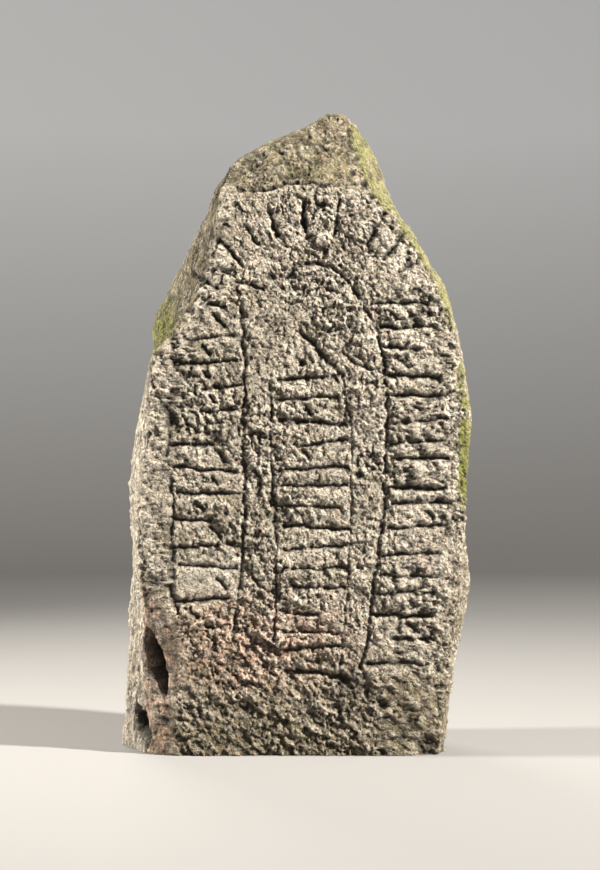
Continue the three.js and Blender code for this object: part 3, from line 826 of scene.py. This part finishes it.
def broken_skin(points, part, sizes):
    """The pecked and weathered skin: slow swells, fine swells, broken pieces of several sizes, and pits. The
    pieces are drawn out along a slant, most of all near the foot."""
    places = bent(points, points, PIECE_BEND * MM)
    slant = np.array([math.cos(SLANT), 0, -math.sin(SLANT)])
    squeeze = SLANT_SQUEEZE + FOOT_SQUEEZE * part["foot"]
    drawn = places - (squeeze * (places @ slant))[:, None] * slant
    rough = drift(points, *ROUGH_DRIFT) * (1 + sum(share * part[name] for name, share in ROUGHER.items()))
    pieces = MM * layered(drawn, GRAIN_SWELLS) * (1 - BACK_GRAIN_LOSS * part["back"])
    for size, height, rounded, kept, foot, seed in PIECES:
        share = (1 - (1 - kept) * part["back"]) * (1 + (foot - 1) * part["foot"])
        pieces += height * MM * share * broken(drawn, size * MM, rounded, seed)
    pits = np.zeros(len(points))
    for spacing, radius, share, seed in PITS:
        way, own = cells(places, spacing * MM, seed)
        reach = radius * MM * (PIT_LEAST + (1 - PIT_LEAST) * own[:, 0] / share)
        pit = 1 - ease(PIT_FLOOR * reach, reach, np.linalg.norm(way, axis=1))
        pits = np.maximum(pits, (own[:, 0] < share) * pit)
    swells = layered(points, FACE_SWELLS) + part["back"] * layered(points, BACK_SWELLS)
    return MM * swells + rough * (sizes.roughness * pieces - sizes.pit_depth * pits)


def split_places(grid):
    """Places for a pattern that is drawn out with the height and follows the outline: those of each column's
    point on one lower ring, with a share of the height."""
    columns = np.broadcast_to(grid[len(grid) // STREAK_RING], grid.shape).reshape(-1, 3)
    return np.stack([columns[:, 0], columns[:, 1], STREAK_RISE * grid[..., 2].ravel()], axis=1)


def stone_fields(grid, normals, sizes):
    """The relief along the normal, in metres, the ways in for the hollows and the chip, and the fields that
    the material reads, at each point."""
    points, outward = grid.reshape(-1, 3), normals.reshape(-1, 3)
    growth = layered(points, GROWTH)
    part = regions(points, outward, growth)
    ridged = np.clip(part["left"] + RIDGED_CHIP * part["chipped"], 0, 1)
    places = split_places(grid)
    ridges = MM * layered(bent(places, points, STREAK_BEND * MM), STREAKS) * drift(points, *RIDGE_DRIFT)
    relief = broken_skin(points, part, sizes) + ridges * ridged
    relief += (spot_height(points) - ledge_depth(points)) * part["face"]
    relief -= carving_depth(points, sizes) * ease(*CARVED, -outward[:, 1])
    hollows = hollow_depth(points)

    surface = relief.reshape(grid.shape[:2])
    above = sum(weight * (surface - blurred(surface, reach)).ravel() for reach, weight in ROUND)
    fields = {
        name: sum(part[place] * (share + swing * growth) for place, share, swing in covers)
        for name, covers in COVERS.items()
    }
    # Darker towards the foot: damp, and painted shade where the light falls off.
    damp = ease(*DAMP, points[:, 2] / MM + layered(points, DAMP_RAGGED))
    fields |= {
        # Painted shade where the relief lies below the mean level round it.
        "cavity": np.clip(-above / (CAVITY_SHADE_FULL * MM) - CAVITY_SHADE_START, 0, 1),
        "crest": np.clip(above / (CREST_FULL * MM), 0, 1) * (1 - CREST_LOSS * ridged),
        # Painted shade in the hollows, darker the deeper they are.
        "deep": np.clip(hollows / (HOLLOW_SHADE_FULL * MM), 0, 1),
        "ridged": ridged * (RIDGED_BACK + (1 - RIDGED_BACK) * part["front"]),
        "split": ridged * (SPLIT_LOW + (1 - SPLIT_LOW) * part["split_top"]),
        "damp": damp * (1 - DAMP_LOSS * part["left"]),
        "split_place": places,
    }
    return relief, hollows, chip_depth(points), fields


def grid_mesh(name, grid, foot, summit=None):
    """A mesh from a grid that closes on itself sideways: a quad for each cell, a fan from the first row to
    the foot and, where there is a summit, one from the last row to it."""
    rows, columns = grid.shape[:2]
    j = np.arange(columns)
    side = (j + 1) % columns
    up = (np.arange(rows - 1) * columns)[:, None]
    last, end = (rows - 1) * columns, rows * columns
    quads = np.stack([up + j, up + side, up + side + columns, up + j + columns], axis=2)
    faces = quads.reshape(-1, 4).tolist() + np.stack([end + 0 * j, side, j], axis=1).tolist()
    ends = [foot]
    if summit is not None:
        faces += np.stack([end + 1 + 0 * j, last + j, last + side], axis=1).tolist()
        ends.append(summit)
    mesh = bpy.data.meshes.new(name)
    mesh.from_pydata(np.concatenate([grid.reshape(-1, 3), ends]).tolist(), [], faces)
    mesh.validate()
    mesh.shade_smooth()
    return mesh


def add_object(context, name, data):
    """Puts an object with its data into the scene."""
    added = bpy.data.objects.new(name, data)
    context.scene.collection.objects.link(added)
    return added


def new_material(name):
    """A material without nodes, and its node tree."""
    material = bpy.data.materials.new(name)
    material.use_nodes = True
    material.node_tree.nodes.clear()
    return material, material.node_tree


def add_node(tree, kind, inputs=None, output=None, **settings):
    """Adds a shader node with its settings and links, and gives back the named output, or else the node.
    Sockets go by their identifiers, and an input is a plain value or an output to link."""
    node = tree.nodes.new("ShaderNode" + kind)
    for name, value in settings.items():
        setattr(node, name, value)
    sockets = {socket.identifier: socket for socket in node.inputs}
    for name, value in (inputs or {}).items():
        socket = sockets[name]
        if isinstance(value, bpy.types.NodeSocket):
            tree.links.new(value, socket)
        elif socket.type == "RGBA":
            socket.default_value = (*value, 1)
        else:
            socket.default_value = value
    return {socket.identifier: socket for socket in node.outputs}[output] if output else node


def weathered_granite(sizes, colours):
    """Weathered granite, split by hand and pecked: a dull, sugary surface of pale, rosy, grey and dark
    crystals under a thin brown film, worn pale on its crests, with painted shade in its pits and hollows,
    lichen on its damp edges."""
    material, tree = new_material("weathered_granite")
    place = add_node(tree, "TexCoord", {}, "Object")
    slanted = {"Vector": place, "Rotation": (0, SLANT, 0), "Scale": (SLANT_STRETCH, 1, 1)}
    drawn_on = {
        "skin": place,
        "pecked": add_node(tree, "Mapping", slanted, "Vector", vector_type="TEXTURE"),
        "split": add_node(tree, "Attribute", {}, "Vector", attribute_name="split_place"),
    }
    share = {}
    for name in sorted({name for coat in COATS for name in coat[2]} - PATTERNS.keys()):
        share[name] = add_node(tree, "Attribute", {}, "Fac", attribute_name=name)
    for name, (size, detail, roughness, start, full, on) in PATTERNS.items():
        cloud = {"Vector": drawn_on[on], "Scale": 1 / (size * MM), "Detail": detail, "Roughness": roughness}
        limits = {"Value": add_node(tree, "TexNoise", cloud, "Fac"), "From Min": start, "From Max": full}
        share[name] = add_node(tree, "MapRange", limits, "Result")

    paint = {name: getattr(colours, name) for name in StoneColours.__annotations__}
    for name, (breaking, start, full, deep, pale) in GROWTHS.items():
        cover = {"Value": share["grains"], "Value_001": breaking, "Value_002": share[name]}
        cover = add_node(tree, "Math", cover, "Value", operation="MULTIPLY_ADD")
        limits = {"Value": cover, "From Min": start, "From Max": full}
        share[name] = add_node(tree, "MapRange", limits, "Result")
        tones = {"Factor_Float": share["tone"], "A_Color": paint[deep], "B_Color": paint[pale]}
        paint[name] = add_node(tree, "Mix", tones, "Result_Color", data_type="RGBA")

    # Crystals: one random value to each cell of a scatter with bent borders, sorted into four minerals.
    bend = {"Vector": place, "Scale": 1 / (BORDER_SIZE * MM), "Detail": 1.0}
    bend = {"Vector": add_node(tree, "TexNoise", bend, "Color"), "Vector_002": place}
    bend["Vector_001"] = (BORDER_BEND * sizes.grain,) * 3
    bend = add_node(tree, "VectorMath", bend, "Vector", operation="MULTIPLY_ADD")
    crystals = add_node(tree, "TexVoronoi", {"Vector": bend, "Scale": 1 / sizes.grain})
    pick = add_node(tree, "SeparateColor", {"Color": crystals.outputs["Color"]}, "Red")
    minerals = add_node(tree, "ValToRGB", {"Fac": pick})
    ramp = minerals.color_ramp
    ramp.interpolation = "CONSTANT"
    while len(ramp.elements) < len(MINERALS):
        ramp.elements.new(1)
    for stop, (position, mineral) in zip(ramp.elements, MINERALS):
        stop.position = position
        stop.color = (*paint[mineral], 1)
    base = minerals.outputs["Color"]

    for coat, mixing, followed, strength in COATS:
        factor = strength
        for name in followed:
            both = {"Value": share[name], "Value_001": factor}
            factor = add_node(tree, "Math", both, "Value", operation="MULTIPLY")
        layers = {"Factor_Float": factor, "A_Color": base, "B_Color": paint[coat]}
        base = add_node(tree, "Mix", layers, "Result_Color", data_type="RGBA", blend_type=mixing)

    # Bumps: pecked grit, the split flank's streaks sunk in, and crystals that stand out from their borders.
    streaks = {"Value": share["streaks"], "Value_001": share["ridged"]}
    streaks = add_node(tree, "Math", streaks, "Value", operation="MULTIPLY")
    borders = {"Value": pick, "Value_001": -CRYSTAL_RISE, "Value_002": crystals.outputs["Distance"]}
    borders = add_node(tree, "Math", borders, "Value", operation="MULTIPLY_ADD")
    bumps = [(share["grit"], GRIT_BUMP, False), (streaks, STREAK_BUMP, True), (borders, CRYSTAL_BUMP, True)]
    normal = {}
    for height, distance, sunk in bumps:
        bump = {"Height": height, "Distance": distance * MM, **normal}
        normal = {"Normal": add_node(tree, "Bump", bump, "Normal", invert=sunk)}

    # Weathered stone scatters almost evenly; broken crystals glint a little.
    dull = {"Value": pick, "Value_001": -GLINT, "Value_002": DULLEST}
    dull = add_node(tree, "Math", dull, "Value", operation="MULTIPLY_ADD")
    surface = {"Base Color": base, "Roughness": dull, "IOR": STONE_IOR, **normal}
    add_node(tree, "OutputMaterial", {"Surface": add_node(tree, "BsdfPrincipled", surface, "BSDF")})
    return material


def studio_paper(settings):
    """Matt paper. It glows a little where it stands upright, so that it stays pale far from the lamps."""
    material, tree = new_material("studio_paper")
    place = add_node(tree, "TexCoord", {}, "Object")
    rise = add_node(tree, "SeparateXYZ", {"Vector": place}, "Z")
    glow = {"Value": rise, "From Max": settings.bend, "To Max": settings.glow}
    glow = add_node(tree, "MapRange", glow, "Result")
    surface = {"Base Color": settings.floor, "Roughness": PAPER_ROUGHNESS, "Emission Strength": glow}
    add_node(tree, "OutputMaterial", {"Surface": add_node(tree, "BsdfPrincipled", surface, "BSDF")})
    return material


class RUNESTONE_OT_stone(Operator):
    """Make the carved boulder and its granite"""

    bl_idname = "rune_stone.stone"
    bl_label = "Stone"

    def execute(self, context):
        sizes, colours = context.scene.rune_stone_sizes, context.scene.rune_stone_colours
        grid = skin_grid(sizes.rows)
        normals = grid_normals(grid)
        relief, hollows, chip, fields = stone_fields(grid, normals, sizes)
        points, outward = grid.reshape(-1, 3), normals.reshape(-1, 3)
        moved = points + outward * relief[:, None] + np.array(SPLIT_DIRECTION) * hollows[:, None]
        moved[:, 1] += chip
        above_foot = ease(0, FOOT_EASE * MM, points[:, 2] - STONE_LOW.z)
        moved[:, 2] = points[:, 2] + (moved[:, 2] - points[:, 2]) * above_foot
        moved[:, 2] = np.maximum(moved[:, 2], STONE_LOW.z)
        skin = moved.reshape(grid.shape)
        summit = (*skin[-1].mean(axis=0)[:2], STONE_HIGH.z)
        mesh = grid_mesh("boulder", skin, skin[0].mean(axis=0), summit)
        for name, values in fields.items():
            kind, key = ("FLOAT", "value") if values.ndim == 1 else ("FLOAT_VECTOR", "vector")
            layer = mesh.attributes.new(name, kind, "POINT")
            whole = np.concatenate([values, values[:1], values[-1:]])
            layer.data.foreach_set(key, whole.ravel().astype(np.float32))
        stone = add_object(context, "boulder", mesh)
        thin_out(context, stone, sizes.triangles)
        stone.data.materials.append(weathered_granite(sizes, colours))
        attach(stone, "root")
        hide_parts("stone")
        return {"FINISHED"}


def thin_out(context, piece, triangles):
    """Takes triangles away where the surface is flattest, until that many are left."""
    piece.data.calc_loop_triangles()
    modifier = piece.modifiers.new("thin_out", "DECIMATE")
    modifier.ratio = min(1.0, triangles / len(piece.data.loop_triangles))
    modifier.use_collapse_triangulate = True
    thinned = bpy.data.meshes.new_from_object(piece.evaluated_get(context.evaluated_depsgraph_get()))
    piece.modifiers.clear()
    piece.data = thinned
    thinned.name = piece.name
    thinned.shade_smooth()


class RUNESTONE_OT_stage(Operator):
    """Set the pale floor, the soft lights and the camera"""

    bl_idname = "rune_stone.stage"
    bl_label = "Stage"

    def execute(self, context):
        settings = context.scene.rune_stone_stage
        self.add_floor(context, settings)
        self.add_lights(context, settings)
        self.add_camera(context, settings)
        context.scene.view_settings.view_transform = "Standard"
        return {"FINISHED"}

    def add_floor(self, context, settings):
        """A round sweep of paper: level under the stone, then a quarter circle, then an upright wall. The
        rings of its profile are turned clockwise round the upright axis."""
        bend, level = settings.bend, FLOOR_RINGS[-1]
        turn = np.linspace(0, math.pi / 2, FLOOR_STEPS)
        reach = np.concatenate([FLOOR_RINGS[:-1], level + bend * np.sin(turn), [level + bend]])
        rise = np.concatenate([[0.0] * len(FLOOR_RINGS[:-1]), bend * (1 - np.cos(turn)), [WALL_TOP]])
        angle = np.linspace(0, -2 * math.pi, 4 * FLOOR_STEPS, endpoint=False)
        rings = [reach[:, None] * np.cos(angle), reach[:, None] * np.sin(angle), rise[:, None] + 0 * angle]
        paper = grid_mesh("floor", np.stack(rings, axis=2), (0, 0, 0))
        paper.materials.append(studio_paper(settings))
        floor = add_object(context, "floor", paper)

    def add_lights(self, context, settings):
        """Area lamps aimed at the middle of the carved face, and a little light from all round."""
        aim = Vector((STONE_MIDDLE.x, STONE_LOW.y, HEIGHT / 2))
        for name, (power, share, width, spread, place, tint) in LAMPS.items():
            light = bpy.data.lights.new(name, "AREA")
            light.energy, light.size, light.color = share * getattr(settings, power), width, linear(tint)
            light.spread = math.radians(spread)
            lamp = add_object(context, name, light)
            lamp.location = place
            lamp.rotation_euler = (aim - lamp.location).to_track_quat("-Z", "Y").to_euler()
        world = bpy.data.worlds.new("studio")
        world.use_nodes = True
        air = world.node_tree.nodes["Background"].inputs
        air["Color"].default_value = (*linear(AIR_TINT), 1)
        air["Strength"].default_value = AIR_STRENGTH
        context.scene.world = world

    def add_camera(self, context, settings):
        """Level, square to the carved face, a little right of the box's middle."""
        camera = bpy.data.cameras.new("camera")
        camera.lens = camera.sensor_width * settings.camera_distance / settings.view_height
        camera.clip_end = CAMERA_CLIP
        eye = add_object(context, "camera", camera)
        eye.location = (CAMERA_SIDE * HALF_WIDTH, STONE_LOW.y - settings.camera_distance, settings.eye_height)
        eye.rotation_euler = (math.pi / 2, 0, 0)
        context.scene.camera = eye


class RUNESTONE_PT_panel(Panel):
    """Lists what can be made"""

    bl_label = "Rune stone"
    bl_space_type = "VIEW_3D"
    bl_region_type = "UI"
    bl_category = "Rune stone"

    def draw(self, context):
        for operator in (RUNESTONE_OT_stone, RUNESTONE_OT_stage):
            self.layout.operator(operator.bl_idname)
        for group in GROUPS:
            settings = getattr(context.scene, group)
            for name in settings.bl_rna.properties.keys():
                if name not in ("rna_type", "name"):
                    self.layout.prop(settings, name)


CLASSES = (*GROUPS.values(), RUNESTONE_OT_stone, RUNESTONE_OT_stage, RUNESTONE_PT_panel)


def register():
    for cls in CLASSES:
        bpy.utils.register_class(cls)
    for name, group in GROUPS.items():
        setattr(bpy.types.Scene, name, PointerProperty(type=group))


def unregister():
    for name in GROUPS:
        delattr(bpy.types.Scene, name)
    for cls in reversed(CLASSES):
        bpy.utils.unregister_class(cls)


def main():
    """Makes the stage and the stone."""
    register()
    bpy.ops.rune_stone.stage()
    bpy.ops.rune_stone.stone()


if __name__ == "__main__":
    main()
